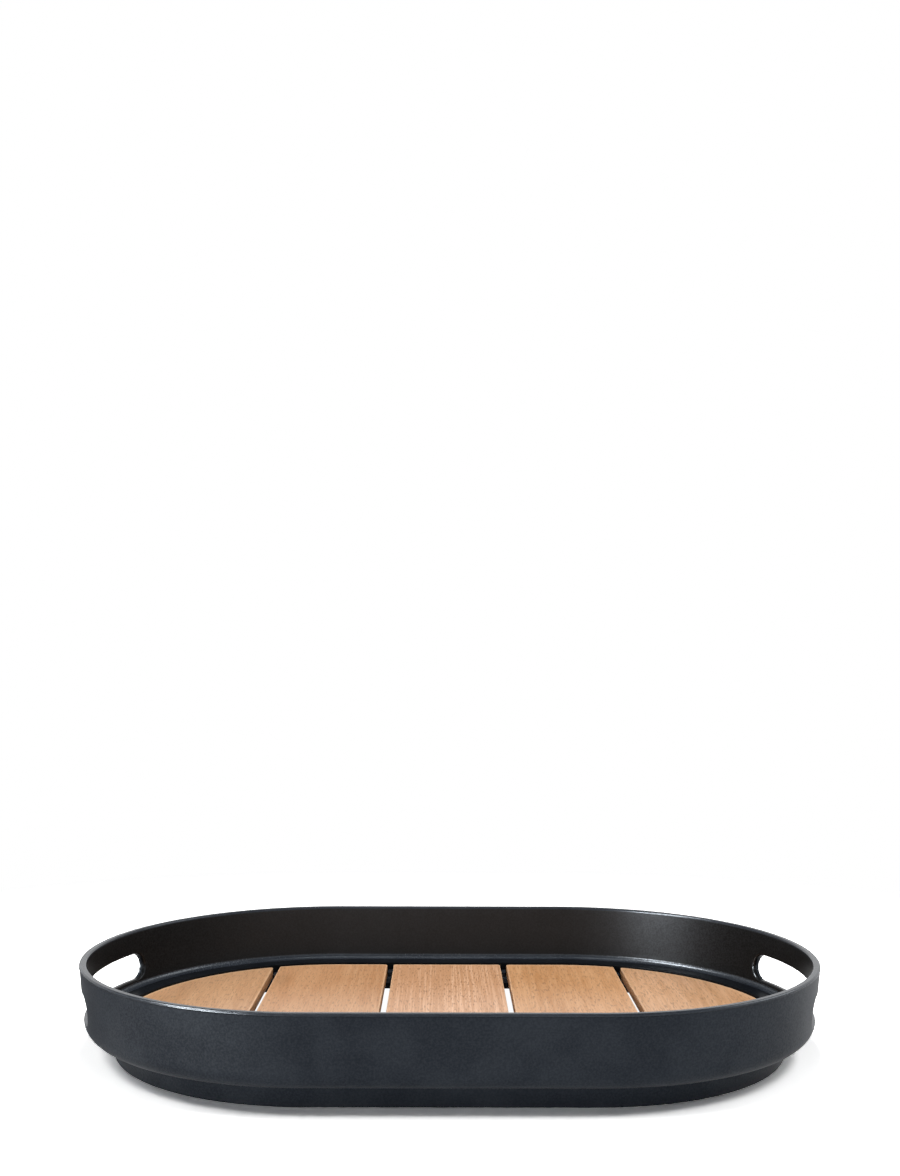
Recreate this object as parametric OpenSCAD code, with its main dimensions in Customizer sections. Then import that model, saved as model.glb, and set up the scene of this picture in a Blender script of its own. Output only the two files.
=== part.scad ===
// Oval serving tray: a moulded rim body with two handle slots and a floor of five wooden slats.
// Origin on the table under the middle of the tray. X runs along the tray, Y across it, Z up.

/* [Tray] */
// Length over the rim, handle end to handle end
tray_len = 420; // [360:2:480]
// Width over the rim
tray_w = 276; // [230:2:320]
// Height from the table to the top of the rim
tray_h = 50.4; // [46:0.2:80]

/* [Wall] */
// Thickness of the side wall
wall_t = 3.9; // [3.4:0.1:5]
// Lean of the side wall, drawn in towards the table, in degrees
wall_draft = 5.8; // [2:0.2:8]
// Height of the rim bead
rim_h = 3.4; // [2.8:0.1:5]
// How far the rim bead stands proud of the wall
rim_proud = 0.45; // [0.2:0.05:0.8]
// Edge radius of the rim, on both sides
rim_r = 1.8; // [0.8:0.1:1.85]
// Radius of the wall's lower outside corner
lower_r = 9; // [6:0.5:10]

/* [Shelf and ledge] */
// Inset of the recess that holds the slats, from the rim outline
recess_inset = 20.2; // [18:0.2:26]
// Height of the shelf over the top of the slats
shelf_rise = 3.7; // [2:0.1:6]
// Thickness of the shelf
shelf_t = 3.4; // [2.6:0.1:4.5]
// Radius of the shelf's inner edge
shelf_r = 1.4; // [0.6:0.1:2]
// Radius between the wall and the shelf
shelf_fillet = 1.6; // [0.6:0.1:2.4]
// Height of the ledge that carries the slats, over the table
ledge_z = 9; // [7:0.1:12]
// Width of the ledge
ledge_w = 10.8; // [9.5:0.1:14]
// Thickness of the ledge
ledge_t = 3; // [2:0.1:4]

/* [Foot ring] */
// Height of the body's underside over the table
foot_h = 12.2; // [11:0.1:15]
// Thickness of the foot ring
foot_t = 3; // [2:0.1:4]
// Thickness of material outside the recess corner
corner_t = 1.9; // [1.5:0.1:3]
// Flare of the foot ring, drawn in towards the table, in degrees
foot_flare = 11; // [6:0.5:18]
// Edge radius of the foot ring
foot_r = 0.6; // [0.2:0.1:1.2]
// Width of the underside between the lower corner and the coring groove
lip_t = 0.6; // [0.4:0.1:2]

/* [Handle slots] */
// Length of a handle slot
slot_len = 121; // [90:1:140]
// Height of a handle slot
slot_h = 16.4; // [12:0.2:22]
// Height of the slot's lower edge over the shelf
slot_rise = 1.4; // [0.8:0.1:4]

/* [Slats] */
// Thickness of a slat
slat_t = 6.5; // [5:0.1:9]
// Gap between two slats
slat_gap = 4.1; // [4.1:0.1:7]
// How far the gaps lie to the left of their even spacing about the middle
slat_shift = 1.4; // [0:0.1:3]
// Clearance between the slats' ends and the recess
slat_clear = 0.5; // [0.3:0.1:1]
// Width of the end slats as a share of a middle slat's width
outer_share = 1.05; // [0.95:0.01:1.15]
// Radius of a slat's top edges
slat_top_r = 0.6; // [0.3:0.1:2]
// Radius of a slat's bottom edges
slat_low_r = 0.5; // [0.3:0.1:1]

/* [Spacer ribs] */
// Height of the spacer ribs over the ledge
rib_h = 3; // [1.5:0.1:4]
// Length of a spacer rib, from the recess wall
rib_len = 7; // [4:0.5:9]
// Clearance between a spacer rib and a slat
rib_clear = 0.4; // [0.2:0.05:0.8]
// Edge radius of a spacer rib
rib_r = 0.8; // [0.3:0.1:1.2]

/* [Slat screws] */
// Diameter of the screw's shank
screw_d = 3; // [2.5:0.1:3.5]
// Share of a slat's thickness that a screw enters
bite_share = 0.7; // [0.5:0.05:0.8]
// Diameter of the screw's head
head_d = 5.6; // [5:0.1:6.5]
// Height of the screw's head
head_h = 1.9; // [1.4:0.1:2.4]
// Radial clearance of the screw in the ledge
screw_clear = 0.2; // [0.1:0.05:0.4]
// Radial clearance of the screw in the slat
pilot_clear = 0.03; // [0.02:0.01:0.1]
// Depth of the slat's screw hole past the screw's tip
pilot_end = 0.3; // [0.2:0.1:1]
// Distance of the screws from a slat's long edges
screw_edge = 13; // [9:0.5:18]
// Bearing of the end slats' outer screws from the tray's long axis, in degrees
tip_angle = 28; // [20:1:40]
// Width of the cross recess's arms
recess_w = 0.8; // [0.5:0.1:1.2]

/* [Hidden] */

$fn = 64;
// Segments of a rounded corner
ARC_STEPS = 6;
// Overrun of cuts, past the faces that they pass
over = 1;

end_r = tray_w / 2;
straight = (tray_len - tray_w) / 2;
slat_z = ledge_z + slat_t;
shelf_z = slat_z + shelf_rise;
ledge_low_z = ledge_z - ledge_t;
core_z = shelf_z - shelf_t;
bead_z = tray_h - rim_h;
ledge_inset = recess_inset + ledge_w;
slat_inset = recess_inset + slat_clear;
slot_z = shelf_z + slot_rise;

// Inset of the wall's outer face at a height
function wall_out(z) = rim_proud + (bead_z - z) * tan(wall_draft);
// Inset of the wall's inner face at a height
function wall_in(z) = wall_out(z) + wall_t;
// Inset of the foot ring's outer face at a height
function foot_out(z) = recess_inset - corner_t + (ledge_z - z) * tan(foot_flare);
// Inset of the foot ring's inner face at a height
function foot_in(z) = foot_out(z) + foot_t;

core_inset = wall_out(foot_h) + lower_r + lip_t;
core_r = foot_t / 3;
ledge_r = ledge_t / 6;

function unit(v) = v / norm(v);

// The arc that rounds the corner b between a and c. The third number of b is its radius.
function corner(a, b, c) =
    let (
        p = [b[0], b[1]],
        u = unit([a[0], a[1]] - p),
        v = unit([c[0], c[1]] - p),
        half = acos(u * v) / 2,
        centre = p + unit(u + v) * b[2] / sin(half),
        from = p + u * b[2] / tan(half) - centre,
        to = p + v * b[2] / tan(half) - centre,
        turn = 180 - 2 * half
    )
    b[2] == 0
        ? [p]
        : [for (k = [0 : ARC_STEPS])
            centre + (from * sin(turn * (1 - k / ARC_STEPS)) + to * sin(turn * k / ARC_STEPS)) / sin(turn)];

// A closed outline with each corner rounded by its own radius
function rounded(pts) =
    let (n = len(pts))
    [for (i = [0 : n - 1]) each corner(pts[(i + n - 1) % n], pts[i], pts[(i + 1) % n])];

// Section of the body: inset from the rim outline, height, corner radius
BODY_SECTION = [
    [wall_out(bead_z), bead_z, rim_proud],
    [0, bead_z + rim_proud, rim_proud],
    [0, tray_h, rim_r],
    [wall_in(tray_h), tray_h, rim_r],
    [wall_in(shelf_z), shelf_z, shelf_fillet],
    [recess_inset, shelf_z, shelf_r],
    [recess_inset, ledge_z, 0],
    [ledge_inset, ledge_z, ledge_r],
    [ledge_inset, ledge_low_z, ledge_r],
    [foot_in(ledge_low_z), ledge_low_z, ledge_r],
    [foot_in(0), 0, foot_r],
    [foot_out(0), 0, foot_r],
    [foot_out(core_z), core_z, core_r],
    [core_inset, core_z, core_r],
    [core_inset, foot_h, foot_r],
    [wall_out(foot_h), foot_h, lower_r],
];

// A section carried once round the oval. Its points are insets from the rim outline and heights.
module ring(section) {
    outline = [for (p = rounded(section)) [end_r - p[0], p[1]]];
    for (side = [0, 1])
        rotate([0, 0, 180 * side]) {
            translate([straight, 0, 0])
                rotate([0, 0, -90])
                    rotate_extrude(angle = 180)
                        polygon(outline);
            translate([-straight, 0, 0])
                rotate([90, 0, 90])
                    linear_extrude(height = 2 * straight)
                        polygon([for (p = outline) [-p[0], p[1]]]);
        }
}

// A slot with round ends, cut along X through both ends of the oval
module handle_slots() {
    reach = tray_len + 2 * over;
    end_y = (slot_len - slot_h) / 2;
    translate([-reach / 2, 0, slot_z + slot_h / 2]) {
        for (side = [-1, 1])
            translate([0, side * end_y, 0])
                rotate([0, 90, 0])
                    cylinder(d = slot_h, h = reach);
        translate([0, -end_y, -slot_h / 2])
            cube([reach, 2 * end_y, slot_h]);
    }
}

// Width of a middle slat: five slats, the two end ones wider, fill the recess with four gaps
slat_w = (tray_len - 2 * slat_inset - 4 * slat_gap) / (3 + 2 * outer_share);
pitch = slat_w + slat_gap;
// Middles of the four gaps, along the tray
GAPS = [for (k = [-1.5 : 1 : 1.5]) k * pitch - slat_shift];

// Low ribs on the ledge that keep the slats apart, at both ends of each gap
module spacer_ribs() {
    root = ledge_t / 3;
    half = slat_gap / 2 - rib_clear;
    intersection() {
        ring([
            [recess_inset - root, ledge_z - root, 0],
            [recess_inset - root, ledge_z + rib_h, 0],
            [recess_inset + rib_len, ledge_z + rib_h, rib_r],
            [recess_inset + rib_len, ledge_z - root, 0],
        ]);
        for (x = GAPS)
            translate([x, end_r, 0])
                rotate([90, 0, 0])
                    linear_extrude(height = tray_w)
                        polygon(rounded([
                            [-half, ledge_z - root, 0],
                            [half, ledge_z - root, 0],
                            [half, ledge_z + rib_h, rib_r],
                            [-half, ledge_z + rib_h, rib_r],
                        ]));
    }
}

// Inset of the line of screws: the middle of the ledge's free underside
screw_inset = (foot_in(ledge_low_z) + ledge_inset) / 2;
screw_line_r = end_r - screw_inset;
screw_len = ledge_t + slat_t * bite_share;

// Distance of the line of screws from the tray's long axis, at a place along the tray
function screw_y(x) =
    abs(x) <= straight ? screw_line_r : sqrt(pow(screw_line_r, 2) - pow(abs(x) - straight, 2));

// Distances of the screws from the middle slat's middle, for screws beside the slats' long edges
EDGE_XS = [
    slat_w / 2 - screw_edge,
    pitch - slat_w / 2 + screw_edge,
    pitch + slat_w / 2 - screw_edge,
    2 * pitch - slat_w / 2 + screw_edge,
];
// Distance of the end slats' outer screws from the tray's middle
tip_x = straight + screw_line_r * cos(tip_angle);
// Places of the screws along the tray: four pairs beside the slats' edges, and the outer pair
SCREW_XS = [for (side = [-1, 1]) each [for (x = EDGE_XS) side * x - slat_shift, side * tip_x]];
SCREWS = [for (x = SCREW_XS) for (side = [-1, 1]) [x, side * screw_y(x)]];

module at_screws() {
    for (p = SCREWS)
        translate([p[0], p[1], ledge_low_z])
            children();
}

module body() {
    color("#33363d")
        difference() {
            union() {
                ring(BODY_SECTION);
                spacer_ribs();
            }
            handle_slots();
            at_screws()
                translate([0, 0, -over])
                    cylinder(r = screw_d / 2 + screw_clear, h = ledge_t + 2 * over);
        }
}

// The whole floor as one oval board with eased edges, before it is cut into slats
module floor_board() {
    outline = rounded([
        [0, ledge_z, 0],
        [end_r - slat_inset, ledge_z, slat_low_r],
        [end_r - slat_inset, slat_z, slat_top_r],
        [0, slat_z, 0],
    ]);
    for (side = [0, 1])
        rotate([0, 0, 180 * side]) {
            translate([straight, 0, 0])
                rotate_extrude()
                    polygon(outline);
            translate([-straight, 0, 0])
                rotate([90, 0, 90])
                    linear_extrude(height = 2 * straight)
                        polygon(outline);
        }
}

// One slat, counted from the left, 0 to 4. Its strip runs past the oval at the tray's ends.
module slat(i) {
    reach = tray_len / 2;
    middle = (i - 2) * pitch - slat_shift;
    left = i == 0 ? -reach : middle - slat_w / 2;
    right = i == 4 ? reach : middle + slat_w / 2;
    difference() {
        intersection() {
            floor_board();
            translate([0, end_r, 0])
                rotate([90, 0, 0])
                    linear_extrude(height = tray_w)
                        polygon(rounded([
                            [left, ledge_z, slat_low_r],
                            [right, ledge_z, slat_low_r],
                            [right, slat_z, slat_top_r],
                            [left, slat_z, slat_top_r],
                        ]));
        }
        for (p = SCREWS)
            if (p[0] > left && p[0] < right)
                translate([p[0], p[1], ledge_z - over])
                    cylinder(r = screw_d / 2 + pilot_clear, h = screw_len - ledge_t + over + pilot_end);
    }
}

module slat_1() {
    color("#cd9c6c") slat(0);
}

module slat_2() {
    color("#cb9e74") slat(1);
}

module slat_3() {
    color("#d3a684") slat(2);
}

module slat_4() {
    color("#cb9a6a") slat(3);
}

module slat_5() {
    color("#cfa074") slat(4);
}

// A screw that hangs head down under the origin: shank, domed head and cross recess
module slat_screw() {
    dome_r = (pow(head_d / 2, 2) + pow(head_h, 2)) / head_h;
    difference() {
        union() {
            cylinder(d = screw_d, h = screw_len);
            intersection() {
                translate([0, 0, -head_h])
                    cylinder(d = head_d, h = head_h);
                translate([0, 0, dome_r - head_h])
                    sphere(r = dome_r);
            }
        }
        for (turn = [0, 90])
            rotate([0, 0, turn])
                translate([-head_d / 4, -recess_w / 2, -head_h - over])
                    cube([head_d / 2, recess_w, head_h / 2 + over]);
    }
}

module slat_screws() {
    color("#8f9296")
        at_screws()
            slat_screw();
}

body();
slat_1();
slat_2();
slat_3();
slat_4();
slat_5();
slat_screws();
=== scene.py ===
"""Oval serving tray: a moulded rim body with two handle slots, and a floor of five beech slats.

Every mesh is worked out in millimetres in the row frame and written in metres: origin on the table under the
middle of the tray, X along it, Y across it, Z up.
"""

import logging
import math
from dataclasses import dataclass, replace
from enum import Enum
from functools import partial, reduce

import bmesh
import bpy
import numpy as np
from mathutils import Matrix, Vector


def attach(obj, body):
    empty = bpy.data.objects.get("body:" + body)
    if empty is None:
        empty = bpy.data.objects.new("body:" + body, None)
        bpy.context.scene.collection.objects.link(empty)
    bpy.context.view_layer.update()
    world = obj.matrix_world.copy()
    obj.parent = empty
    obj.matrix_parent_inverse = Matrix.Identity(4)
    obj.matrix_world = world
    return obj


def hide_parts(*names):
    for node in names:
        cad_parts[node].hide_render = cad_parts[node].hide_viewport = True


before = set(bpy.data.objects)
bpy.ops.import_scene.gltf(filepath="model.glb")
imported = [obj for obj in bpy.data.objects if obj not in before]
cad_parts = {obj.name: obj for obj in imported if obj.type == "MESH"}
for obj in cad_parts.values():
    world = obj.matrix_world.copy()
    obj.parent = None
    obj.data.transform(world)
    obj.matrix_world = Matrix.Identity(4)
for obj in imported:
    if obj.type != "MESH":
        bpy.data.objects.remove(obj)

LOG = logging.getLogger("serving_tray")
MM = 0.001
BODY = "root"
Socket = bpy.types.NodeSocket
Colour = tuple[float, float, float, float]
Triple = tuple[float, float, float]
Pair = tuple[float, float]
BLACK: Colour = (0, 0, 0, 1)
WHITE: Colour = (1, 1, 1, 1)
EDGE_STEPS = 6
UNDERSIDE_RING = 1.3
TOP_RING = 1.15


class Shell:
    """Gathers grid points in millimetres and the faces between them, and makes one closed mesh of them."""

    def __init__(self) -> None:
        """Starts with no points and no faces."""
        self.blocks: list[np.ndarray] = []
        self.count = 0
        self.quads: list[np.ndarray] = []
        self.caps: list[np.ndarray] = []

    def add(self, points: np.ndarray) -> np.ndarray:
        """Adds a block of points.

        Args:
            points: Places in millimetres, with a last axis of three.

        Returns:
            The points' numbers, in the shape of the block.
        """
        numbers = np.arange(self.count, self.count + points.size // 3).reshape(points.shape[:-1])
        self.blocks.append(points.reshape(-1, 3))
        self.count += numbers.size
        return numbers

    def weave(self, numbers: np.ndarray, keep: np.ndarray | None = None) -> None:
        """Joins each four neighbours of a grid of point numbers into a face.

        Args:
            numbers: The grid. A closed one repeats its first row or column at its end.
            keep: Which faces are made, or all of them.
        """
        faces = np.stack([numbers[:-1, :-1], numbers[1:, :-1], numbers[1:, 1:], numbers[:-1, 1:]], axis=-1)
        self.quads.append(faces[keep] if keep is not None else faces.reshape(-1, 4))

    def cap(self, ring: np.ndarray) -> None:
        """Closes a ring of point numbers with one flat face."""
        self.caps.append(ring)

    def places(self, numbers: np.ndarray) -> np.ndarray:
        """Gives the places of points by their numbers."""
        return np.concatenate(self.blocks)[numbers]

    def make(self, name: str) -> bpy.types.Object:
        """Makes the mesh object, with its faces pointing outwards.

        Args:
            name: The object's name.

        Returns:
            The object.
        """
        faces = np.concatenate(self.quads)
        used = np.unique(np.concatenate([faces.ravel(), *self.caps]))
        renumber = np.zeros(self.count, int)
        renumber[used] = np.arange(len(used))
        mesh = bpy.data.meshes.new(name)
        polygons = renumber[faces].tolist() + [renumber[ring].tolist() for ring in self.caps]
        mesh.from_pydata((self.places(used) * MM).tolist(), [], polygons)
        work = bmesh.new()
        work.from_mesh(mesh)
        bmesh.ops.recalc_face_normals(work, faces=work.faces)
        work.to_mesh(mesh)
        work.free()
        mesh.shade_smooth()
        return placed(name, mesh)


def placed(name: str, data: bpy.types.ID) -> bpy.types.Object:
    """Makes an object of a mesh, a light or a camera, at the origin, in the scene's collection."""
    made = bpy.data.objects.new(name, data)
    bpy.context.scene.collection.objects.link(made)
    return made


def closed(numbers: np.ndarray) -> np.ndarray:
    """Repeats a grid's first column at its end, so that the grid closes on itself."""
    return np.concatenate([numbers, numbers[:, :1]], axis=1)


def unit(vector: np.ndarray) -> np.ndarray:
    """Gives the vector a length of one."""
    return vector / np.linalg.norm(vector)


def rounded_corner(before: np.ndarray, at: np.ndarray, after: np.ndarray, radius: float, steps: int) -> np.ndarray:
    """Rounds the corner of an outline.

    The arc's middle lies on the corner's bisector, the radius over the half angle's sine away. Its points turn
    evenly from the foot on the one side to the foot on the other.

    Args:
        before: The outline's point before the corner.
        at: The corner.
        after: The outline's point after it.
        radius: Radius of the arc, or 0 for a sharp corner.
        steps: Steps along the arc.

    Returns:
        The arc's points, one a row.
    """
    if radius == 0:
        return at[None]
    back, ahead = unit(before - at), unit(after - at)
    half = math.acos(float(back @ ahead)) / 2
    middle = at + unit(back + ahead) * radius / math.sin(half)
    start = at + back * radius / math.tan(half) - middle
    end = at + ahead * radius / math.tan(half) - middle
    turn = math.pi - 2 * half
    share = np.linspace(0, 1, steps + 1)[:, None]
    return middle + (start * np.sin(turn * (1 - share)) + end * np.sin(turn * share)) / math.sin(turn)


@dataclass
class Arc:
    """One arc of a board's outline. Straight edges run from each arc's end to the next one's start."""

    x: float
    y: float
    radius: float
    start: float
    end: float
    steps: int = 8

    def trace(self) -> tuple[np.ndarray, np.ndarray]:
        """Gives the arc's points and its outward directions: middle plus radius times (cosine, sine)."""
        angle = np.linspace(self.start, self.end, self.steps + 1)
        away = np.stack([np.cos(angle), np.sin(angle)], axis=1)
        return np.array([self.x, self.y]) + self.radius * away, away


def board(shell: Shell, arcs: list[Arc], low: float, high: float, low_r: float, high_r: float) -> None:
    """Adds a flat board with eased edges.

    Each ring is the outline moved inwards by a distance at a height: a quarter circle of the edge's radius at the
    bottom and at the top. One more ring inside each keeps the faces flat up to the edge.

    Args:
        shell: Takes the board's points and faces.
        arcs: The outline, counter-clockwise.
        low: Height of the underside.
        high: Height of the top.
        low_r: Radius of the bottom edge.
        high_r: Radius of the top edge.
    """
    traces = [arc.trace() for arc in arcs]
    outline = np.concatenate([points for points, _ in traces])
    away = np.concatenate([directions for _, directions in traces])
    turn = np.linspace(0, math.pi / 2, EDGE_STEPS + 1)
    inward = np.concatenate([
        [low_r * UNDERSIDE_RING], low_r * (1 - np.sin(turn)), high_r * (1 - np.cos(turn)), [high_r * TOP_RING],
    ])
    height = np.concatenate([
        [low], low + low_r * (1 - np.cos(turn)), high - high_r * (1 - np.sin(turn)), [high],
    ])
    flat = outline[None] - inward[:, None, None] * away[None]
    points = np.concatenate([flat, np.broadcast_to(height[:, None, None], flat.shape[:2] + (1,))], axis=2)
    numbers = shell.add(points)
    shell.weave(closed(numbers))
    shell.cap(numbers[0])
    shell.cap(numbers[-1])


@dataclass
class Section:
    """The body's closed section: insets from the rim's outline and heights, and where its two slot bands begin."""

    points: np.ndarray
    outer_low: int
    inner_high: int


def joined(target: bpy.types.Object, tool: bpy.types.Object) -> None:
    """Joins a closed tool mesh to the target's mesh and removes the tool."""
    step = target.modifiers.new("join", "BOOLEAN")
    step.operation = "UNION"
    step.object = tool
    step.solver = "MANIFOLD"
    evaluated = target.evaluated_get(bpy.context.evaluated_depsgraph_get())
    result = bpy.data.meshes.new_from_object(evaluated)
    result.name = target.data.name
    target.modifiers.clear()
    target.data = result
    bpy.data.objects.remove(tool)


class Nodes:
    """A node tree under construction. Where a function takes an object, that is a socket or a plain value."""

    def __init__(self, tree: bpy.types.NodeTree) -> None:
        """Keeps the tree that the nodes are added to."""
        self.tree = tree

    def node(self, kind: str, inputs: dict[str | int, object] | None = None, **settings: object) -> bpy.types.Node:
        """Adds a node.

        Args:
            kind: The node's type name, without its ShaderNode prefix.
            inputs: Input names or numbers, each with a value or with the socket that feeds it.
            settings: The node's own properties.

        Returns:
            The node.
        """
        made = self.tree.nodes.new("ShaderNode" + kind)
        for name, value in settings.items():
            setattr(made, name, value)
        for name, value in (inputs or {}).items():
            if isinstance(value, bpy.types.NodeSocket):
                self.tree.links.new(value, made.inputs[name])
            else:
                made.inputs[name].default_value = value
        return made

    def spread(self, value: Socket, low: float, high: float, to_low: float = 0.0, to_high: float = 1.0) -> Socket:
        """Maps low to high onto another range, smoothly and without passing its ends. Low may lie above high."""
        return self.node(
            "MapRange",
            {"Value": value, "From Min": low, "From Max": high, "To Min": to_low, "To Max": to_high},
            interpolation_type="SMOOTHSTEP",
        ).outputs["Result"]

    def maths(self, operation: str, first: object, second: object = 0.0) -> Socket:
        """Gives one arithmetic operation on two values."""
        return self.node("Math", {0: first, 1: second}, operation=operation).outputs[0]

    def total(self, *terms: object) -> Socket:
        """Gives the sum of two or more values."""
        return reduce(partial(self.maths, "ADD"), terms)

    def product(self, *factors: object) -> Socket:
        """Gives the product of two or more values."""
        return reduce(partial(self.maths, "MULTIPLY"), factors)

    def highest(self, *values: object) -> Socket:
        """Gives the highest of two or more values."""
        return reduce(partial(self.maths, "MAXIMUM"), values)

    def less(self, first: object, second: object) -> Socket:
        """Gives the first value less the second."""
        return self.maths("SUBTRACT", first, second)


@dataclass(frozen=True)
class Pattern:
    """A noise on a piece: its repeats a metre along each axis, how many finer octaves it has and how strong each
    is against the one before, the band of it that counts, and what it gives at the band's end."""

    scale: Triple
    detail: float
    rough: float = 0.5
    band: Pair = (0.30, 0.70)
    share: float = 1.0


class Paint(Nodes):
    """A node material under construction, around one Principled shader."""

    def __init__(self, name: str) -> None:
        """Makes the material with its shader and output.

        Args:
            name: The material's name.
        """
        self.material = bpy.data.materials.new(name)
        self.material.use_nodes = True
        super().__init__(self.material.node_tree)
        self.shader = self.tree.nodes["Principled BSDF"]

    def axes(self) -> tuple[Socket, Socket, Socket]:
        """Gives the piece's own X, Y and Z in metres."""
        place = self.node("SeparateXYZ", {0: self.node("TexCoord").outputs["Object"]})
        return tuple(place.outputs)

    def away(self, straight: float) -> Socket:
        """Gives the distance from the tray's axis segment seen from above, which is the same all round an oval.

        Args:
            straight: Half the segment's length in metres.

        Returns:
            The root of the sum of two squares: how far X lies past the segment's end, and Y.
        """
        x, y, _ = self.axes()
        past = self.highest(self.less(self.maths("ABSOLUTE", x), straight), 0.0)
        return self.maths("SQRT", self.total(self.maths("POWER", past, 2.0), self.maths("POWER", y, 2.0)))

    def noise(self, pattern: Pattern, shift: Triple = (0, 0, 0), bend: object = (0, 0, 0)) -> Socket:
        """Gives a pattern's noise of about 0 to 1.

        Args:
            pattern: The pattern.
            shift: What is added to the scaled coordinates, for a stretch of pattern of the piece's own.
            bend: What is added after that, a value or a socket.

        Returns:
            The noise.
        """
        source = self.node("TexCoord").outputs["Object"]
        place = self.node("Mapping", {"Vector": source, "Location": shift, "Scale": pattern.scale}).outputs[0]
        bent = self.node("VectorMath", {0: place, 1: bend}, operation="ADD").outputs[0]
        inputs = {"Vector": bent, "Scale": 1.0, "Detail": pattern.detail, "Roughness": pattern.rough}
        return self.node("TexNoise", inputs).outputs["Fac"]

    def part(self, noise: Socket, pattern: Pattern) -> Socket:
        """Gives 0 at the low end of a pattern's band, and its share at the high end."""
        return self.spread(noise, *pattern.band, 0.0, pattern.share)

    def mixed(self, factor: Socket, first: object, second: object) -> Socket:
        """Mixes two colours. The Mix node's colour sockets are its inputs 6 and 7 and its output 2."""
        return self.node("Mix", {0: factor, 6: first, 7: second}, data_type="RGBA").outputs[2]

    def bump(self, height: Socket, depth: float) -> None:
        """Gives the surface a relief of the given depth in metres."""
        relief = self.node("Bump", {"Height": height, "Distance": depth, "Strength": 1.0})
        self.tree.links.new(relief.outputs["Normal"], self.shader.inputs["Normal"])

    def feed(self, name: str, value: object) -> None:
        """Sets one of the shader's inputs, to a value or from a socket."""
        if isinstance(value, bpy.types.NodeSocket):
            self.tree.links.new(value, self.shader.inputs[name])
        else:
            self.shader.inputs[name].default_value = value


@dataclass(frozen=True)
class Zone:
    """A part of the body's surface: the steps, each from where it is 0 to where it is 1, whose product marks it.

    Heights and distances from the tray's axis segment are in metres. The level is that distance less the draft
    times the height, so it is the same all over a wall face.
    """

    height: tuple[Pair, ...] = ()
    away: tuple[Pair, ...] = ()
    level: tuple[Pair, ...] = ()
    share: float = 1.0

    def mark(self, paint: Paint, spot: tuple[Socket, Socket, Socket]) -> Socket:
        """Gives the zone's share on it and 0 off it, from a point's height, distance and level."""
        measures = zip(spot, (self.height, self.away, self.level))
        return paint.product(*(paint.spread(value, *step) for value, steps in measures for step in steps), self.share)


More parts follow.
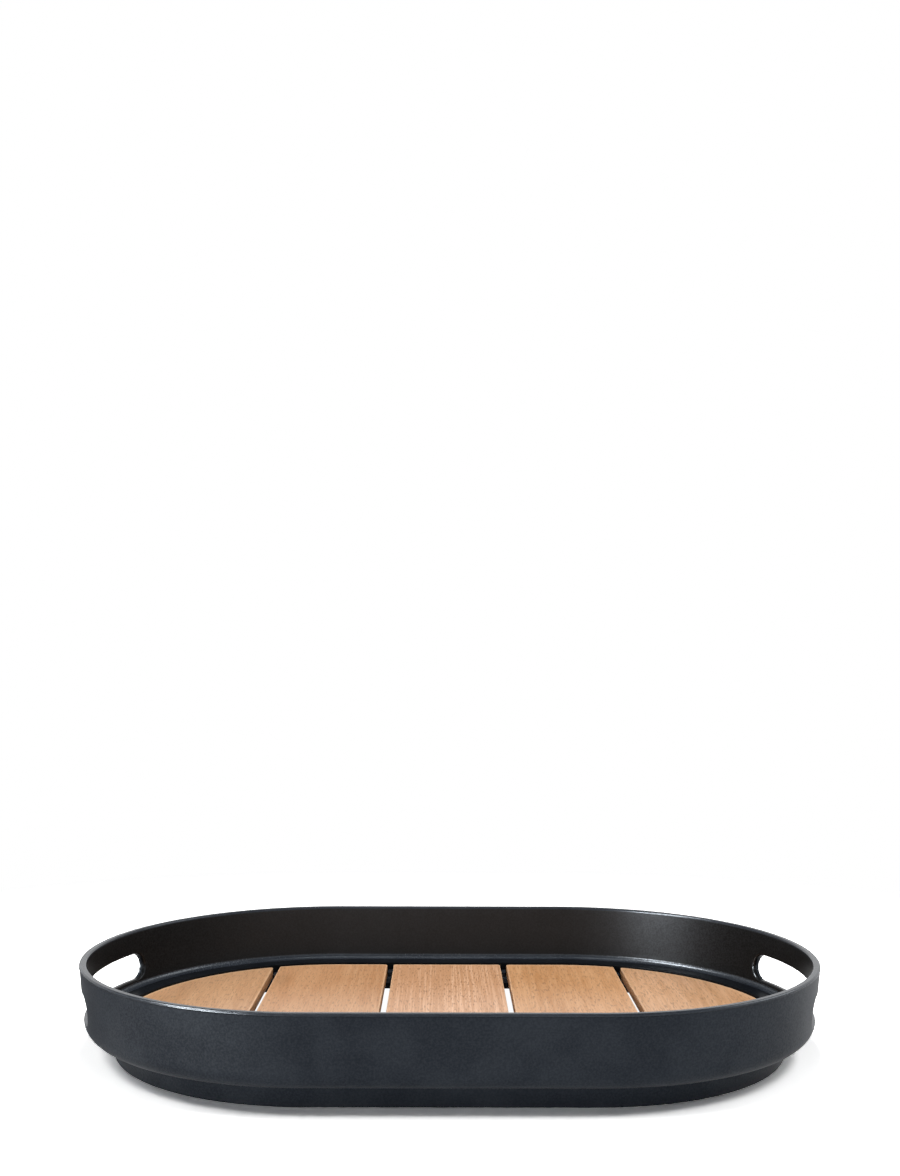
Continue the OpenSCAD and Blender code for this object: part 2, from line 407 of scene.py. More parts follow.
@dataclass(frozen=True)
class MouldedPlastic:
    """Anthracite moulded plastic with a fine satin texture, polished by handling at the rim, in the slots and on
    the wall's lower edge. A pair of levels counts off and on the polished parts."""

    colour: Colour = (0.0150, 0.0185, 0.0250, 1)
    worn: Colour = (0.0230, 0.0275, 0.0350, 1)
    # Painted light: a warmer copy of the colour for the wall's inner side, standing for warm light bounced off the
    # slats.
    inner: Colour = (0.0205, 0.0192, 0.0184, 1)
    tint: Colour = (0.84, 0.92, 1.0, 1)
    specular: Pair = (0.13, 0.40)
    specular_fillet: float = 0.12
    specular_lost_inside: float = 0.3
    specular_shaded: float = 0.35
    sparkle_band: Pair = (0.32, 0.68)
    sparkle: Pair = (0.55, 1.45)
    roughness: Pair = (0.38, 0.20)
    roughness_fillet: float = 0.06
    roughness_spread: float = 0.10
    grain: Pattern = Pattern((1000, 1000, 1000), 3.0, 0.6, (0.45, 0.80), 0.20)
    grain_depth: float = 0.000016
    cloud: Pattern = Pattern((13, 13, 13), 2.0, share=0.25)
    blotch: Pattern = Pattern((38, 38, 38), 1.0, band=(0.37, 0.63), share=0.75)
    inner_bounce_share: float = 0.85
    # Painted shade: the wall's inner side is darkened towards the tray's ends.
    end_shade_band: Pair = (0.11, 0.19)
    end_shade_share: float = 0.75
    shaded_share: float = 0.75
    straight: float = 0.072
    draft: float = 0.1016
    rim: Zone = Zone(height=((0.0489, 0.0495),))
    # Painted shade: the lower half of the bead's outer side is darkened as the shadow under the bead.
    bead: Zone = Zone(height=((0.0486, 0.0489), (0.0492, 0.0486)), away=((0.1350, 0.1362),))
    slots: Zone = Zone(height=((0.0196, 0.0200), (0.0440, 0.0430)), level=((0.12895, 0.12915), (0.13265, 0.13245)))
    # The wall's inner side, which gets the painted warm bounce light and the painted shade towards the ends.
    inside: Zone = Zone(height=((0.0188, 0.0200), (0.0492, 0.0486)), level=((0.13081, 0.13079),))
    lower_edge: Zone = Zone(height=((0.0136, 0.0130),), away=((0.12249, 0.12251),), share=0.6)
    fillet: Zone = Zone(height=((0.01672, 0.01678), (0.0200, 0.0194)), away=((0.13251, 0.13249),))
    # Painted shade: the shelf's flat is darkened, standing for the dark back wall that it mirrors.
    shelf: Zone = Zone(height=((0.01586, 0.01588), (0.01674, 0.01672)), away=((0.13051, 0.13049),))
    # Painted shade: the recess face behind the slats is darkened as the shadow in the gap round them.
    recess: Zone = Zone(height=((0.01671, 0.01669),), away=((0.11759, 0.11761), (0.11801, 0.11799)))

    def tone(self, paint: Paint, worn: Socket, inside: Socket, shaded: Socket) -> Socket:
        """Gives the colour: worn patches, painted warm bounce light from the slats on the inner side, painted shade on
        the inner side towards the tray's ends, and painted shade, nearly black, where the plastic is shaded."""
        # Painted shade on the inner side, growing towards the tray's ends.
        end = paint.spread(paint.maths("ABSOLUTE", paint.axes()[0]), *self.end_shade_band, 0.0, self.end_shade_share)
        tone = paint.mixed(worn, self.colour, self.worn)
        # Painted warm bounce light from the slats on the wall's inner side.
        tone = paint.mixed(paint.product(inside, self.inner_bounce_share), tone, self.inner)
        tone = paint.mixed(paint.product(inside, end), tone, BLACK)
        # Painted shade: nearly black where the plastic is shaded.
        return paint.mixed(paint.product(shaded, self.shaded_share), tone, BLACK)

    def material(self, name: str) -> bpy.types.Material:
        """Makes the material: a spark-eroded grain as relief, and slow clouds in tone and gloss."""
        paint = Paint(name)
        height, away = paint.axes()[2], paint.away(self.straight)
        spot = (height, away, paint.less(away, paint.product(height, self.draft)))
        grain, cloud, blotch = (paint.noise(pattern) for pattern in (self.grain, self.cloud, self.blotch))
        fillet, inside = self.fillet.mark(paint, spot), self.inside.mark(paint, spot)
        polished = paint.highest(fillet, *(zone.mark(paint, spot) for zone in (self.rim, self.slots, self.lower_edge)))
        # Painted shade: the bead's underside, the shelf's flat and the recess are darkened and lose gloss.
        shaded = paint.highest(*(zone.mark(paint, spot) for zone in (self.bead, self.shelf, self.recess)))
        parts = zip((cloud, blotch, grain), (self.cloud, self.blotch, self.grain))
        worn = paint.total(*(paint.part(noise, pattern) for noise, pattern in parts))
        paint.feed("Base Color", self.tone(paint, worn, inside, shaded))
        paint.feed("Roughness", paint.total(
            paint.spread(polished, 0.0, 1.0, *self.roughness),
            paint.product(fillet, self.roughness_fillet),
            paint.product(paint.less(paint.total(cloud, grain), 1.0), self.roughness_spread),
        ))
        level = paint.spread(polished, 0.0, 1.0, *self.specular)
        paint.feed("Specular IOR Level", paint.product(
            paint.total(level, paint.product(fillet, self.specular_fillet)),
            paint.less(1.0, paint.product(inside, self.specular_lost_inside)),
            paint.spread(grain, *self.sparkle_band, *self.sparkle),
            paint.spread(shaded, 0.0, 1.0, 1.0, self.specular_shaded),
        ))
        paint.feed("Specular Tint", self.tint)
        paint.bump(grain, self.grain_depth)
        return paint.material


@dataclass(frozen=True)
class Beech:
    """Planed beech under a thin clear oil, its grain along Y, with the short dark flecks of the wood's rays.

    Places are in metres. A pair of places counts from where a soft mask is 0 to where it is 1, and a pair of
    levels counts on the slat's sides and on its top.
    """

    light: Colour
    dark: Colour
    shift: Triple
    middle: float = 0.0
    waver: Pattern = Pattern((9, 9, 9), 1.0)
    bend: float = 2.2
    lines: Pattern = Pattern((260, 5, 260), 4.0, 0.65, (0.40, 0.60), 0.35)
    broad: Pattern = Pattern((24, 7, 24), 2.0, share=0.35)
    fibre: Pattern = Pattern((900, 40, 900), 3.0, 0.6, (0.36, 0.64), 0.45)
    rays: Pattern = Pattern((1350, 170, 1350), 1.0, 0.4, (0.57, 0.66), 0.64)
    # The ray flecks' colour, also used for the stain and as the colour of the painted shade on the slat's sides.
    fleck_and_side_shade: Colour = (0.27, 0.130, 0.055, 1)
    smudge: Pair = (0.0, 0.0)
    smudge_size: Pair = (0.007, 0.022)
    smudge_share: float = 0.0
    ragged: tuple[float, float, float, float] = (0.2, 0.6, 0.4, 1.0)
    # Painted highlight: the lighter colour along the eased top edges.
    edge_highlight: Colour = (0.80, 0.50, 0.29, 1)
    edge_highlight_share: float = 0.7
    # Painted shade: how far the slat's sides are darkened towards the fleck colour.
    side_shade_share: float = 0.55
    straight: float = 0.072
    top: Pair = (0.0146, 0.0150)
    long_edge: Pair = (0.0343, 0.0350)
    end_edge: Pair = (0.1138, 0.1158)
    gloss_band: Pair = (0.30, 0.70)
    gloss: Pair = (0.28, 0.38)
    roughness_side: float = 0.40
    specular: Pair = (0.1, 0.5)
    oil: float = 0.6
    oil_roughness: float = 0.32
    relief_band: Pair = (0.20, 0.80)
    relief: float = 0.00001

    def edges(self, paint: Paint, top: Socket) -> Socket:
        """Gives 1 along the slat's top edges, where a lighter colour is painted as the highlight of the eased edges:
        near the two long edges, and near the oval, by the distance from the tray's axis segment."""
        aside = paint.maths("ABSOLUTE", paint.less(paint.axes()[0], self.middle))
        end_edge = paint.spread(paint.away(self.straight), *self.end_edge)
        return paint.product(paint.highest(paint.spread(aside, *self.long_edge), end_edge), top)

    def stain(self, paint: Paint, broad: Socket) -> Socket:
        """Gives a darker oval patch round a place on the slat, made ragged by the broad tone."""
        squares = [
            paint.maths("POWER", paint.product(paint.less(axis, mark), 1 / size), 2.0)
            for axis, mark, size in zip(paint.axes(), self.smudge, self.smudge_size)
        ]
        spot = paint.spread(paint.total(*squares), 1.0, 0.0, 0.0, self.smudge_share)
        return paint.product(spot, paint.spread(broad, *self.ragged))

    def material(self, name: str) -> bpy.types.Material:
        """Makes the material: broad tone, wavy growth lines along Y, fibres, ray flecks and a faint relief."""
        paint = Paint(name)
        sway = paint.product(paint.less(paint.noise(self.waver, self.shift), 0.5), self.bend)
        lines = paint.noise(self.lines, self.shift, paint.node("CombineXYZ", {0: sway}).outputs[0])
        broad, fibre, rays = (paint.noise(pattern, self.shift) for pattern in (self.broad, self.fibre, self.rays))
        tone = paint.total(paint.part(broad, self.broad), paint.part(lines, self.lines), paint.part(fibre, self.fibre))
        flecks = paint.part(rays, self.rays)
        base = paint.mixed(flecks, paint.mixed(tone, self.light, self.dark), self.fleck_and_side_shade)
        if self.smudge_share:
            base = paint.mixed(self.stain(paint, broad), base, self.fleck_and_side_shade)
        top = paint.spread(paint.axes()[2], *self.top)
        # Painted highlight along the eased top edges.
        base = paint.mixed(paint.product(self.edges(paint, top), self.edge_highlight_share), base, self.edge_highlight)
        # Painted shade: the sides below the top, in the shade of the gaps and the recess, are darkened towards the
        # fleck colour.
        paint.feed("Base Color", paint.mixed(paint.spread(top, 0.0, 1.0, self.side_shade_share, 0.0), base, self.fleck_and_side_shade))
        gloss = paint.spread(fibre, *self.gloss_band, *self.gloss)
        paint.feed("Roughness", paint.total(gloss, paint.spread(top, 0.0, 1.0, self.roughness_side, 0.0)))
        paint.feed("Specular IOR Level", paint.spread(top, 0.0, 1.0, *self.specular))
        paint.feed("Coat Weight", paint.spread(top, 0.0, 1.0, 0.0, self.oil))
        paint.feed("Coat Roughness", self.oil_roughness)
        paint.bump(paint.less(paint.spread(fibre, *self.relief_band), flecks), self.relief)
        return paint.material


@dataclass(frozen=True)
class ZincPlate:
    """Bright zinc-plated steel, faintly brushed."""

    colour: Colour = (0.60, 0.61, 0.62, 1)
    stain: Colour = (0.46, 0.46, 0.45, 1)
    cloud: Pattern = Pattern((350, 350, 350), 3.0, band=(0.35, 0.70))
    marks: Pattern = Pattern((600, 600, 6000), 2.0)
    roughness: Pair = (0.24, 0.42)
    relief: float = 0.000004

    def material(self, name: str) -> bpy.types.Material:
        """Makes the material: metal with cloudy tone and fine turning marks."""
        paint = Paint(name)
        cloud, marks = paint.noise(self.cloud), paint.noise(self.marks)
        paint.feed("Base Color", paint.mixed(paint.part(cloud, self.cloud), self.colour, self.stain))
        paint.feed("Metallic", 1.0)
        paint.feed("Roughness", paint.spread(marks, *self.marks.band, *self.roughness))
        paint.bump(marks, self.relief)
        return paint.material


class Fitting(Enum):
    """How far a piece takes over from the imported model."""

    REPLACES = "stands for its node"
    CARRIED = "is the packed node with a finish of its own"


def dress(piece: bpy.types.Object, material: bpy.types.Material) -> None:
    """Gives a piece one material in all its slots."""
    piece.data.materials.clear()
    piece.data.materials.append(material)
    piece.data.polygons.foreach_set("material_index", np.zeros(len(piece.data.polygons), np.int32))


def seat(piece: bpy.types.Object, node: str) -> None:
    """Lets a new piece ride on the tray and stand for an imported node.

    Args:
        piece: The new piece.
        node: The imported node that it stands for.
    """
    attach(piece, BODY)
    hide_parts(node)
    LOG.info("%s: %d faces, %s", piece.name, len(piece.data.polygons), Fitting.REPLACES.value)


@dataclass
class TrayBody:
    """The moulded body: drafted wall with rim bead, shelf, ledge, flared foot ring and two handle slots. Lengths
    are in millimetres, angles in degrees, and insets count inwards from the rim's outline."""

    end_r: float = 138.0
    straight: float = 72.0
    height: float = 50.4
    wall_t: float = 3.9
    wall_draft: float = 5.8
    rim_h: float = 1.6
    rim_proud: float = 0.267
    rim_r: float = 1.1
    lower_r: float = 9.0
    recess_inset: float = 20.2
    shelf_z: float = 16.7
    shelf_r: float = 0.4
    shelf_fillet: float = 3.2
    core_z: float = 13.9
    ledge_z: float = 9.0
    ledge_w: float = 10.8
    ledge_t: float = 3.0
    ledge_r: float = 0.5
    foot_h: float = 12.2
    foot_t: float = 3.0
    corner_t: float = 1.9
    foot_flare: float = 11.0
    foot_r: float = 0.6
    lip_t: float = 0.6
    core_r: float = 0.7
    slot_low: float = 21.2
    slot_high: float = 36.4
    slot_half: float = 59.2
    slot_edge_r: float = 1.2
    band_low: float = 17.6
    band_high: float = 39.8
    band_start: float = 19.4
    band_rows: int = 24
    band_gap: float = 0.4
    run_min: float = 1.2
    run_row: float = 0.3
    side_columns: int = 24
    slot_columns: int = 140
    end_columns: int = 49
    slot_bearing: float = 29.5
    skin_rings: tuple[float, ...] = (0.3, 0.6, 0.85, 0.97)
    crease: float = 38.0
    rib_h: float = 3.0
    rib_len: float = 7.0
    rib_half: float = 1.65
    rib_r: float = 0.8
    rib_top_r: float = 0.656
    rib_low_r: float = 0.3
    rib_bite: float = 1.0
    gaps: tuple[float, ...] = (-114.079, -38.960, 36.160, 111.279)
    finish: MouldedPlastic = MouldedPlastic()

    def wall_out(self, z: float | np.ndarray) -> float | np.ndarray:
        """Inset of the wall's outer face: the bead's proud, plus the depth under the bead times the draft."""
        return self.rim_proud + (self.height - self.rim_h - z) * math.tan(math.radians(self.wall_draft))

    def wall_in(self, z: float) -> float:
        """Inset of the wall's inner face at a height."""
        return self.wall_out(z) + self.wall_t

    def foot_out(self, z: float) -> float:
        """Inset of the foot ring's outer face at a height."""
        return self.recess_inset - self.corner_t + (self.ledge_z - z) * math.tan(math.radians(self.foot_flare))

    def section(self) -> Section:
        """Gives the body's closed section, counter-clockwise from the foot of the rim bead, over the rim.

        A corner is an inset, a height, the radius of its rounding and the steps along it. The run after corner 3,
        counted from 0, is the wall's inner face, and the one after corner 15 its outer face. Both get rows for the
        handle slots, and every other longer run gets a row close to each of its ends, which keeps it flat. A slot's
        band of rows begins on the rounded corner beside the wall, so the corner's own points past the band's edge
        count as its rows.

        Returns:
            The section's points, and the rows at which the outer band begins and the inner one begins.
        """
        bead_z = self.height - self.rim_h
        ledge_in = self.recess_inset + self.ledge_w
        ledge_low = self.ledge_z - self.ledge_t
        core_inset = self.wall_out(self.foot_h) + self.lower_r + self.lip_t
        corners = [
            (self.wall_out(bead_z), bead_z, self.rim_proud, 3),
            (0, bead_z + self.rim_proud, self.rim_proud, 3),
            (0, self.height, self.rim_r, 9),
            (self.wall_in(self.height), self.height, self.rim_r, 9),
            (self.wall_in(self.shelf_z), self.shelf_z, self.shelf_fillet, 8),
            (self.recess_inset, self.shelf_z, self.shelf_r, 7),
            (self.recess_inset, self.ledge_z, 0, 0),
            (ledge_in, self.ledge_z, self.ledge_r, 3),
            (ledge_in, ledge_low, self.ledge_r, 3),
            (self.foot_out(ledge_low) + self.foot_t, ledge_low, self.ledge_r, 3),
            (self.foot_out(0) + self.foot_t, 0, self.foot_r, 3),
            (self.foot_out(0), 0, self.foot_r, 4),
            (self.foot_out(self.core_z), self.core_z, self.core_r, 4),
            (core_inset, self.core_z, self.core_r, 4),
            (core_inset, self.foot_h, self.foot_r, 4),
            (self.wall_out(self.foot_h), self.foot_h, self.lower_r, 16),
        ]
        sharp = np.array([corner[:2] for corner in corners], float)
        runs = [
            rounded_corner(sharp[i - 1], sharp[i], sharp[(i + 1) % len(corners)], corner[2], corner[3])
            for i, corner in enumerate(corners)
        ]
        inner, outer = 3, 15
        points, count, starts = [], 0, {}
        for i, run in enumerate(runs):
            points.append(run)
            count += len(run)
            start, end = run[-1], runs[(i + 1) % len(runs)][0]
            length = float(np.linalg.norm(end - start))
            if i == inner:
                extra = int(np.sum(runs[inner + 1][:, 1] > self.band_start))
                heights = np.linspace(self.band_high, end[1], self.band_rows - extra + 2)[:-1]
                points.append(self.on_wall(np.concatenate([[start[1] - self.band_gap], heights]), self.wall_t))
                starts[inner] = count + 1
            elif i == outer:
                extra = int(np.sum(run[:, 1] > self.band_low))
                heights = np.linspace(start[1], self.band_high, self.band_rows - extra + 2)[1:]
                points.append(self.on_wall(np.concatenate([heights, [end[1] - self.band_gap]]), 0.0))
                starts[outer] = count - extra
            elif length > self.run_min:
                points.append(start + (end - start) * np.array([[self.run_row], [length - self.run_row]]) / length)
            else:
                continue
            count += len(points[-1])
        return Section(np.concatenate(points), starts[outer], starts[inner])

    def on_wall(self, heights: np.ndarray, depth: float) -> np.ndarray:
        """Gives section points on the wall, a depth inside its outer face."""
        return np.stack([self.wall_out(heights) + depth, heights], axis=1)

    def arc_angles(self) -> np.ndarray:
        """Gives the bearings of the section's copies round one end, close together where the slot is."""
        edge = math.radians(self.slot_bearing)
        coarse = np.linspace(-math.pi / 2, -edge, self.end_columns + 1)
        fine = np.linspace(-edge, edge, self.slot_columns + 1)
        return np.concatenate([coarse[:-1], fine[:-1], -coarse[::-1]])

    def columns(self) -> tuple[np.ndarray, np.ndarray]:
        """Gives where the section is copied round the oval, and the direction in which it faces there.

        Returns:
            Places on the long axis, and outward directions. Half the oval is the other half turned by 180 degrees.
        """
        angle = self.arc_angles()
        away = np.stack([np.cos(angle), np.sin(angle)], axis=1)
        side = np.linspace(self.straight, -self.straight, self.side_columns + 2)[1:-1]
        middle = np.concatenate([np.full(len(angle), self.straight), side])
        half = np.concatenate([away, np.tile([0.0, 1.0], (len(side), 1))])
        return np.concatenate([middle, -middle]), np.concatenate([half, -half])

    def slot_ring(self, columns: int, rows: int, offset: float) -> np.ndarray:
        """Gives the handle slot's outline in Y and Z, moved outwards by an offset.

        The outline is a straight line's points, each pushed out by the end radius plus the offset, so it is two
        straights and two half circles. It starts at the lower left and has as many points along each side as the
        rectangle of wall round it.

        Args:
            columns: Steps along the lower and the upper side.
            rows: Steps along each end.
            offset: Distance outside the slot's own outline.

        Returns:
            The outline's points in Y and Z, one a row.
        """
        radius = (self.slot_high - self.slot_low) / 2
        reach = self.slot_half - radius
        eighth = radius * math.pi / 4
        along = np.arange(columns) / columns * 2 * (reach + eighth)
        foot = np.clip(along - eighth, 0, 2 * reach) - reach
        turn = (np.minimum(along, eighth) + np.maximum(along - eighth - 2 * reach, 0)) / radius
        end_turn = np.arange(rows) / rows * math.pi / 2
        angle = np.concatenate([turn - math.pi, end_turn - math.pi / 2, turn, end_turn + math.pi / 2]) + math.pi / 4
        foot = np.concatenate([foot, np.full(rows, reach), -foot, np.full(rows, -reach)])
        middle = (self.slot_low + self.slot_high) / 2
        return np.stack([foot + (radius + offset) * np.cos(angle), middle + (radius + offset) * np.sin(angle)], axis=1)

    def handle_slot(self, shell: Shell, grid: np.ndarray, section: Section, first: int, side: int) -> None:
        """Fills one end's two rectangles of wall with skins that lead through the slot.

        Args:
            shell: Holds the body's grid and takes the new rings.
            grid: The grid's point numbers, a row for each section point.
            section: The body's section.
            first: The first of the rectangle's columns.
            side: 1 for the right-hand end, -1 for the left-hand one.
        """
        columns = self.slot_columns
        faces = (
            (section.outer_low, section.outer_low + self.band_rows, 1.0),
            (section.inner_high + self.band_rows, section.inner_high, -1.0),
        )
        stacks = []
        for low, high, outward in faces:
            step = 1 if high > low else -1
            rows = np.arange(low, high, step)
            across = np.arange(first, first + columns)
            border = np.concatenate([
                grid[low, across], grid[rows, first + columns],
                grid[high, across[::-1] + 1], grid[rows[::-1] + step, first],
            ])
            edge = shell.places(border)[:, 1:] * [side, 1]
            band = section.points[min(low, high):max(low, high) + 1]
            band = band[np.argsort(band[:, 1])]
            rings = [border]
            lip = self.slot_ring(columns, self.band_rows, self.slot_edge_r)
            for share in self.skin_rings:
                rings.append(self.lay(shell, edge * (1 - share) + lip * share, band, 0.0, side))
            for turn in np.linspace(0, math.pi / 2, EDGE_STEPS + 1):
                ring = self.slot_ring(columns, self.band_rows, self.slot_edge_r * (1 - math.sin(turn)))
                rings.append(self.lay(shell, ring, band, outward * self.slot_edge_r * (1 - math.cos(turn)), side))
            stacks.append(rings)
        shell.weave(closed(np.stack(stacks[0] + stacks[1][::-1])))

    def lay(self, shell: Shell, ring: np.ndarray, band: np.ndarray, sink: float, side: int) -> np.ndarray:
        """Adds a ring of Y and Z on a wall face, whose inset at a height is read off the section's band, at a depth
        under it and on one side of the tray. X is the end's middle plus the root of the face's radius squared less
        Y squared, less the depth. Gives the points' numbers."""
        inset = np.interp(ring[:, 1], band[:, 1], band[:, 0])
        x = self.straight + np.sqrt((self.end_r - inset) ** 2 - ring[:, 0] ** 2) - sink
        return shell.add(np.column_stack([x, ring]) * [side, side, 1])

    def spacer_ribs(self) -> bpy.types.Object:
        """Makes the eight low ribs on the ledge, at both ends of each gap between the slats."""
        shell = Shell()
        recess_r = self.end_r - self.recess_inset
        for gap in self.gaps:
            past = max(abs(gap) - self.straight, 0)
            outer = math.sqrt((recess_r + self.rib_bite) ** 2 - past ** 2)
            inner = math.sqrt((recess_r - self.rib_len) ** 2 - past ** 2)
            left, right = gap - self.rib_half + self.rib_r, gap + self.rib_half - self.rib_r
            for side in (1, -1):
                ends = sorted((side * outer, side * inner))
                low, high = ends[0] + self.rib_r, ends[1] - self.rib_r
                corners = ((right, high), (left, high), (left, low), (right, low))
                arcs = [
                    Arc(x, y, self.rib_r, i * math.pi / 2, (i + 1) * math.pi / 2) for i, (x, y) in enumerate(corners)
                ]
                low_z, high_z = self.ledge_z - self.rib_bite, self.ledge_z + self.rib_h
                board(shell, arcs, low_z, high_z, self.rib_low_r, self.rib_top_r)
        return shell.make("spacer_ribs")

    def build(self) -> None:
        """Makes the body and gives it its finish.

        A point of the grid is the column's place on the long axis plus its outward direction times the end radius
        less the section's inset, at the section's height. The rectangles round the slots are left out and filled
        by skins. The ribs are joined on at the end.
        """
        shell = Shell()
        section = self.section()
        middle, away = self.columns()
        radius = self.end_r - section.points[:, :1]
        height = np.repeat(section.points[:, 1:], len(middle), axis=1)
        grid = shell.add(np.stack([middle + radius * away[:, 0], radius * away[:, 1], height], axis=-1))
        firsts = (self.end_columns, self.end_columns + len(middle) // 2)
        keep = np.ones(grid.shape, bool)
        for first in firsts:
            for row in (section.outer_low, section.inner_high):
                keep[row:row + self.band_rows, first:first + self.slot_columns] = False
        wrapped = closed(np.concatenate([grid, grid[:1]]))
        shell.weave(wrapped, keep)
        for first, side in zip(firsts, (1, -1)):
            self.handle_slot(shell, grid, section, first, side)
        piece = shell.make("tray_body")
        joined(piece, self.spacer_ribs())
        piece.data.shade_smooth()
        piece.data.set_sharp_from_angle(angle=math.radians(self.crease))
        dress(piece, self.finish.material("anthracite_plastic"))
        seat(piece, "body")


@dataclass
class SlatFloor:
    """The five beech slats, cut to the oval recess. Lengths are in millimetres."""

    end_r: float = 117.3
    straight: float = 72.0
    low: float = 9.0
    high: float = 15.5
    slat_w: float = 71.020
    pitch: float = 75.120
    middle: float = -1.4
    corner_r: float = 1.5
    low_r: float = 0.5
    high_r: float = 0.6
    part_steps: int = 24
    half_steps: int = 90
    finishes: tuple[Beech, ...] = (
        Beech(light=(0.72, 0.430, 0.236, 1), dark=(0.54, 0.285, 0.138, 1), shift=(0.31, 0.17, 0.0)),
        Beech(
            light=(0.71, 0.404, 0.212, 1), dark=(0.53, 0.260, 0.116, 1), shift=(0.83, 0.42, 0.1),
            smudge=(-0.106, 0.075), smudge_share=0.28,
        ),
        Beech(
            light=(0.89, 0.541, 0.334, 1), dark=(0.62, 0.330, 0.170, 1), shift=(1.27, 0.71, 0.2),
            lines=Pattern((640, 5, 640), 4.0, 0.65, (0.40, 0.60), 0.95),
        ),
        Beech(light=(0.78, 0.440, 0.222, 1), dark=(0.56, 0.275, 0.112, 1), shift=(1.79, 0.09, 0.3)),
        Beech(light=(0.81, 0.480, 0.275, 1), dark=(0.58, 0.310, 0.145, 1), shift=(2.33, 0.55, 0.4)),
    )

    def meets(self, x: float) -> tuple[float, float]:
        """Gives the height over the long axis of a corner arc's middle at x, and the oval's bearing there."""
        past = max(abs(x) - self.straight, 0.0)
        rise = math.sqrt((self.end_r - self.corner_r) ** 2 - past ** 2)
        return rise, math.atan2(rise, math.copysign(past, x))

    def outline(self, left: float | None, right: float | None) -> list[Arc]:
        """Gives a slat's outline as arcs, counter-clockwise.

        A long edge is a straight between two corner arcs. Between the corners the outline follows the oval, whose
        arc past the straight part has the oval's own middle.

        Args:
            left: Where the left-hand long edge lies, or None for the tray's left-hand slat.
            right: The same for the right-hand edge.

        Returns:
            The arcs.
        """
        top = []
        if right is not None:
            x = right - self.corner_r
            rise, bearing = self.meets(x)
            top.append(Arc(x, rise, self.corner_r, 0, bearing))
            if x > self.straight:
                top.append(Arc(self.straight, 0, self.end_r, bearing, math.pi / 2, self.part_steps))
        else:
            stop = self.meets(left + self.corner_r)[1]
            top.append(Arc(self.straight, 0, self.end_r, 0, stop, self.half_steps))
        if left is not None:
            x = left + self.corner_r
            rise, bearing = self.meets(x)
            if x < -self.straight:
                top.append(Arc(-self.straight, 0, self.end_r, math.pi / 2, bearing, self.part_steps))
            top.append(Arc(x, rise, self.corner_r, bearing, math.pi))
        else:
            start = self.meets(right - self.corner_r)[1]
            top.append(Arc(-self.straight, 0, self.end_r, start, math.pi, self.half_steps))
        bottom = [Arc(arc.x, -arc.y, arc.radius, -arc.end, -arc.start, arc.steps) for arc in reversed(top)]
        return top + bottom

    def build(self) -> None:
        """Makes the five slats from left to right, each with its own tone and its own stretch of grain."""
        for i, finish in enumerate(self.finishes):
            middle = self.middle + (i - len(self.finishes) // 2) * self.pitch
            left = None if i == 0 else middle - self.slat_w / 2
            right = None if i == len(self.finishes) - 1 else middle + self.slat_w / 2
            shell = Shell()
            board(shell, self.outline(left, right), self.low, self.high, self.low_r, self.high_r)
            piece = shell.make(f"floor_slat_{i + 1}")
            dress(piece, replace(finish, middle=middle * MM).material(f"beech_{i + 1}"))
            seat(piece, f"slat_{i + 1}")


@dataclass
class SlatScrews:
    """The small screws under the ledge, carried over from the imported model."""

    node: str = "slat_screws"
    finish: ZincPlate = ZincPlate()

    def build(self) -> None:
        """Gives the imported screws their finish."""
        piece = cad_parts[self.node]
        dress(piece, self.finish.material("zinc_plate"))
        LOG.info("%s: %s", piece.name, Fitting.CARRIED.value)


@dataclass
class Camera:
    """The photograph's camera: where it stands in millimetres, where it looks in degrees, and its lens."""

    place: Triple = (-4.12, -772.77, 218.39)
    yaw: float = -0.259
    pitch: float = -3.158
    roll: float = 0.181
    focal_px: float = 1312.9
    image_h: float = 1176.0
    sensor: float = 36.0
    clip: Pair = (0.01, 100)

    def build(self) -> None:
        """Makes the camera. Pitch is positive downwards, and the focal length is in pixels of the photograph."""
        yaw, pitch, roll = (math.radians(value) for value in (self.yaw, self.pitch, self.roll))
        ahead = Vector((-math.sin(yaw) * math.cos(pitch), math.cos(yaw) * math.cos(pitch), -math.sin(pitch)))
        level = Vector((math.cos(yaw), math.sin(yaw), 0))
        upright = level.cross(ahead)
        right = math.cos(roll) * level + math.sin(roll) * upright
        up = math.cos(roll) * upright - math.sin(roll) * level
        data = bpy.data.cameras.new("camera")
        data.sensor_fit = "AUTO"
        data.sensor_width = self.sensor
        data.lens = self.focal_px * self.sensor / self.image_h
        data.clip_start, data.clip_end = self.clip
        camera = placed("camera", data)
        turn = Matrix((right, up, -ahead)).transposed()
        camera.matrix_world = Matrix.Translation(Vector(self.place) * MM) @ turn.to_4x4()
        bpy.context.scene.camera = camera


@dataclass
class SoftLight:
    """One rectangular soft light: where it is and what it points at, its size, all in metres, and its watts."""

    name: str
    place: Triple
    size: Pair
    power: float
    mirrored: bool = True
    lights: bool = True
    target: Triple = (0.0, 0.0, 0.02)

    def build(self) -> None:
        """Makes the light. One that isn't mirrored leaves no highlight on the tray, and one that doesn't light it
        leaves only its highlight."""
        data = bpy.data.lights.new(self.name, "AREA")
        data.shape = "RECTANGLE"
        data.size, data.size_y = self.size
        data.energy = self.power
        light = placed(self.name, data)
        light.location = self.place
        light.visible_glossy = self.mirrored
        light.visible_diffuse = self.lights
        light.rotation_euler = (Vector(self.target) - Vector(self.place)).to_track_quat("-Z", "Y").to_euler()


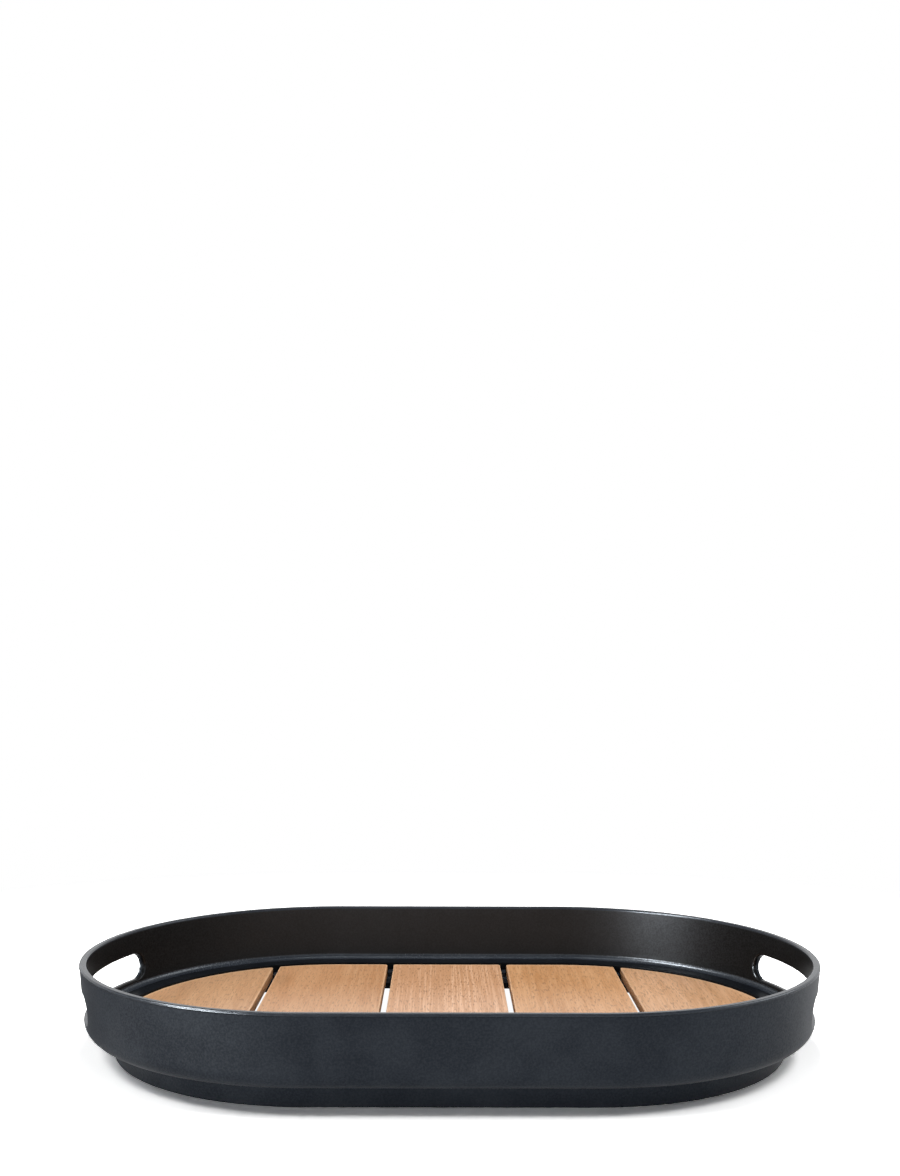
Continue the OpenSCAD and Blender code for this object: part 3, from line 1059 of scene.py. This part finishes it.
@dataclass
class Studio:
    """White floor, white surroundings and soft lights. Places are in metres."""

    floor_half: float = 4.0
    floor_seen: float = 2.0
    floor_mirrored: float = 0.5
    floor_glow: float = 0.3
    floor_albedo: float = 0.72
    dim_x: Pair = (-0.05, -0.25)
    dim_y: Pair = (-0.09, -0.03)
    dim_share: float = 0.7
    foot_straight: float = 0.072
    foot_r: float = 0.1160
    far: Pair = (0.35, 0.60)
    ceiling_rise: Pair = (0.30, 0.65)
    ceiling: float = 0.25
    lights: tuple[SoftLight, ...] = (
        SoftLight("overhead", (0.0, 0.0, 1.40), (0.4, 0.4), 12.2, mirrored=False),
        SoftLight("right", (1.12, 0.20, 0.80), (0.9, 0.7), 5.8),
        SoftLight("left", (-1.12, 0.22, 0.80), (0.4, 0.4), 4.8, mirrored=False),
        SoftLight("high_left", (-0.78, -0.36, 1.10), (0.3, 0.3), 4.2, mirrored=False),
        SoftLight("high_right", (0.78, -0.36, 1.10), (0.3, 0.3), 4.2, mirrored=False),
        SoftLight("front_left", (-0.72, -1.20, 0.12), (0.6, 0.22), 6.8, mirrored=False),
        SoftLight("front_right", (0.62, -1.25, 0.12), (0.6, 0.22), 1.5, mirrored=False),
        SoftLight("front", (0.0, -0.70, 1.21), (0.4, 0.4), 0.9, mirrored=False),
        SoftLight("canopy", (-0.20, 0.0, 1.38), (0.8, 0.6), 1.8, lights=False),
        SoftLight("softbox", (-0.96, -0.31, 0.98), (0.60, 0.5), 38.0, lights=False),
        SoftLight("strip", (-1.07, -0.89, 0.16), (0.7, 0.3), 42.0, lights=False),
    )

    def floor_shader(self, paint: Paint) -> Socket:
        """Gives the floor's shader.

        To the lamps it is white paper. Seen or mirrored it is brighter, so that only the tray's own shadow shows,
        with the mirror image dimmed at the back left. Inside the foot ring, and far away past the tray's shadow,
        it reads as plain white.

        Args:
            paint: The floor's material.

        Returns:
            The shader.
        """
        away = paint.away(self.foot_straight)
        ray = paint.node("LightPath").outputs
        camera, passed = ray["Is Camera Ray"], paint.highest(ray["Is Glossy Ray"], ray["Is Transmission Ray"])
        x, y, _ = paint.axes()
        dim = paint.product(paint.spread(y, *self.dim_y), paint.spread(x, *self.dim_x, 0.0, self.dim_share))
        lit = paint.less(1.0, dim)
        tone = paint.total(
            paint.product(camera, self.floor_seen - self.floor_albedo),
            paint.product(passed, paint.less(paint.product(lit, self.floor_mirrored), self.floor_albedo)),
            self.floor_albedo,
        )
        paper = paint.node("BsdfDiffuse", {"Color": tone}).outputs[0]
        level = paint.product(passed, lit, self.floor_glow)
        glow = paint.node("Emission", {"Color": WHITE, "Strength": level}).outputs[0]
        clear = paint.node("Emission", {"Color": WHITE, "Strength": 1.0}).outputs[0]
        inside = paint.product(paint.maths("LESS_THAN", away, self.foot_r), paint.highest(camera, passed))
        plain = paint.highest(inside, paint.product(paint.spread(away, *self.far), camera))
        lit_floor = paint.node("AddShader", {0: paper, 1: glow}).outputs[0]
        return paint.node("MixShader", {0: plain, 1: lit_floor, 2: clear}).outputs[0]

    def white_floor(self) -> None:
        """Makes the floor, a square about the tray."""
        mesh = bpy.data.meshes.new("white_floor")
        h = self.floor_half
        mesh.from_pydata([(-h, -h, 0), (h, -h, 0), (h, h, 0), (-h, h, 0)], [], [(0, 1, 2, 3)])
        paint = Paint("white_floor")
        paint.tree.links.new(self.floor_shader(paint), paint.tree.nodes["Material Output"].inputs["Surface"])
        mesh.materials.append(paint.material)
        placed("white_floor", mesh)

    def surroundings(self) -> None:
        """Gives white where the world is seen, straight or mirrored, with a dim ceiling in the mirrored one. It
        lights nothing: the lamps do that."""
        world = bpy.data.worlds.new("surroundings")
        world.use_nodes = True
        nodes = Nodes(world.node_tree)
        rise = nodes.node("SeparateXYZ", {0: nodes.node("TexCoord").outputs["Generated"]}).outputs[2]
        ray = nodes.node("LightPath").outputs
        mirrored = nodes.spread(rise, *self.ceiling_rise, 1.0, self.ceiling)
        mirrored = nodes.product(ray["Is Glossy Ray"], mirrored)
        strength = nodes.highest(ray["Is Camera Ray"], ray["Is Transmission Ray"], mirrored)
        background = world.node_tree.nodes["Background"]
        background.inputs["Color"].default_value = WHITE
        world.node_tree.links.new(strength, background.inputs["Strength"])
        bpy.context.scene.world = world

    def build(self) -> None:
        """Makes the floor, the surroundings and the lights."""
        self.white_floor()
        self.surroundings()
        for light in self.lights:
            light.build()
        bpy.context.scene.view_settings.view_transform = "Standard"


def main() -> None:
    logging.basicConfig(level=logging.INFO, format="%(name)s: %(message)s")
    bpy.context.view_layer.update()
    Camera().build()
    TrayBody().build()
    SlatFloor().build()
    SlatScrews().build()
    Studio().build()


if __name__ == "__main__":
    main()
